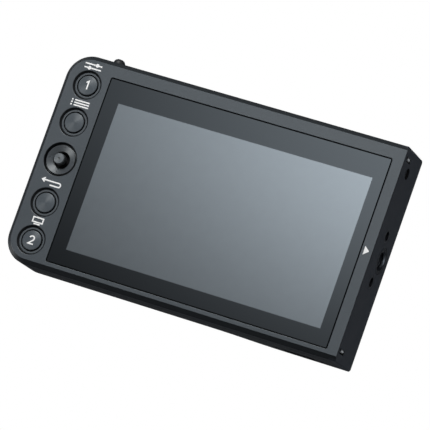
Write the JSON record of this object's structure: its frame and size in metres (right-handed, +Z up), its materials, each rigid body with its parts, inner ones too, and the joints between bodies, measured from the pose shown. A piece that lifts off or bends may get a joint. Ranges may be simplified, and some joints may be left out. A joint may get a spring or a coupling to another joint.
{
  "type": "camera field monitor",
  "caption": "Flat on-camera field monitor with a flush glass screen, push buttons and a tilting joystick at one end and a threaded accessory mount in the other.",
  "frame": {"origin": "mouth of the accessory thread, at mid-height of the flat right-hand end", "axes": "+X out of the accessory thread, to the right of a viewer in front of the screen; +Y to the back; +Z up"},
  "size_m": [0.1172, 0.0208, 0.0733],
  "materials": {
    "bezel_paint": "satin blue-grey paint with a fine speckle",
    "cover_paint": "fine-textured black moulding",
    "plate_black": "fine-blasted black anodised casting",
    "cover_glass": "clear cover glass with a black printed border",
    "screen": "dark grey screen, switched off",
    "light_guide": "white reflector tray",
    "seal_black": "matt black seal",
    "button_grey": "satin grey, turned look",
    "mirror_cap": "satin black",
    "ring_grey": "turned dark grey",
    "stick_grey": "mid grey, fine turned face",
    "bright_steel": "machined steel",
    "black_steel": "blackened steel",
    "sheet_metal": "plain sheet",
    "board_green": "green solder mask",
    "chip_black": "moulded black",
    "pad_grey": "soft grey pad",
    "flex_amber": "amber film",
    "switch_black": "moulded black",
    "socket_black": "moulded black",
    "contact_gold": "gold-plated",
    "mark_white": "white print"
  },
  "bodies": {
    "housing": {"front_bezel": "bezel_paint", "rear_cover": "cover_paint", "side_plate": "plate_black", "touch_glass": "cover_glass", "lcd_panel": "screen", "backlight_unit": "light_guide", "glass_seal": "seal_black", "shell_gasket": "seal_black", "joystick_ring": "ring_grey", "thread_insert": "bright_steel", "locating_bushes": "bright_steel", "catch_pins": "bright_steel", "side_screw": "black_steel", "rear_screws": "black_steel", "board_screws": "black_steel", "key_board_screws": "black_steel", "display_chassis": "sheet_metal", "main_board": "board_green", "key_board": "board_green", "board_chips": "chip_black", "board_connectors": "chip_black", "heat_pad": "pad_grey", "display_ribbon": "flex_amber", "key_ribbon": "flex_amber", "tact_switches": "switch_black", "mirror_switch": "switch_black", "joystick_housing": "switch_black", "video_socket": "socket_black", "socket_contacts": "contact_gold", "joystick_contact": "contact_gold"},
    "function_button": {"function_button": "button_grey", "function_plunger": "switch_black"},
    "menu_button": {"menu_button": "button_grey", "menu_plunger": "switch_black"},
    "cancel_button": {"cancel_button": "button_grey", "cancel_plunger": "switch_black"},
    "display_button": {"display_button": "button_grey", "display_plunger": "switch_black"},
    "mirror_button": {"mirror_button": "mirror_cap", "mirror_plunger": "switch_black"},
    "stick_yoke": {"joystick_yoke": "switch_black"},
    "stick_rocker": {"joystick_rocker": "switch_black"},
    "stick": {"joystick_stem": "bright_steel", "joystick_cap": "stick_grey"}
  },
  "joints": [
    {"name": "function_press", "type": "slide", "parent": "housing", "child": "function_button", "axis": [0, 1, 0], "range_m": [0, 0.0005], "stiffness_N_per_m": 2500},
    {"name": "menu_press", "type": "slide", "parent": "housing", "child": "menu_button", "axis": [0, 1, 0], "range_m": [0, 0.0005], "stiffness_N_per_m": 2500},
    {"name": "cancel_press", "type": "slide", "parent": "housing", "child": "cancel_button", "axis": [0, 1, 0], "range_m": [0, 0.0005], "stiffness_N_per_m": 2500},
    {"name": "display_press", "type": "slide", "parent": "housing", "child": "display_button", "axis": [0, 1, 0], "range_m": [0, 0.0005], "stiffness_N_per_m": 2500},
    {"name": "mirror_press", "type": "slide", "parent": "housing", "child": "mirror_button", "axis": [0, 0, -1], "range_m": [0, 0.0005], "stiffness_N_per_m": 2500},
    {"name": "stick_nod", "type": "hinge", "parent": "housing", "child": "stick_yoke", "pos_m": [-0.10865, -0.0078, 0], "axis": [1, 0, 0], "range_deg": [-7.5, 7.5], "stiffness_Nm_per_rad": 0.045},
    {"name": "stick_sway", "type": "hinge", "parent": "stick_yoke", "child": "stick_rocker", "pos_m": [-0.10865, -0.0078, 0], "axis": [0, 0, 1], "range_deg": [-7.5, 7.5], "stiffness_Nm_per_rad": 0.045},
    {"name": "stick_press", "type": "slide", "parent": "stick_rocker", "child": "stick", "axis": [0, 1, 0], "range_m": [0, 0.0003], "stiffness_N_per_m": 3000}
  ]
}
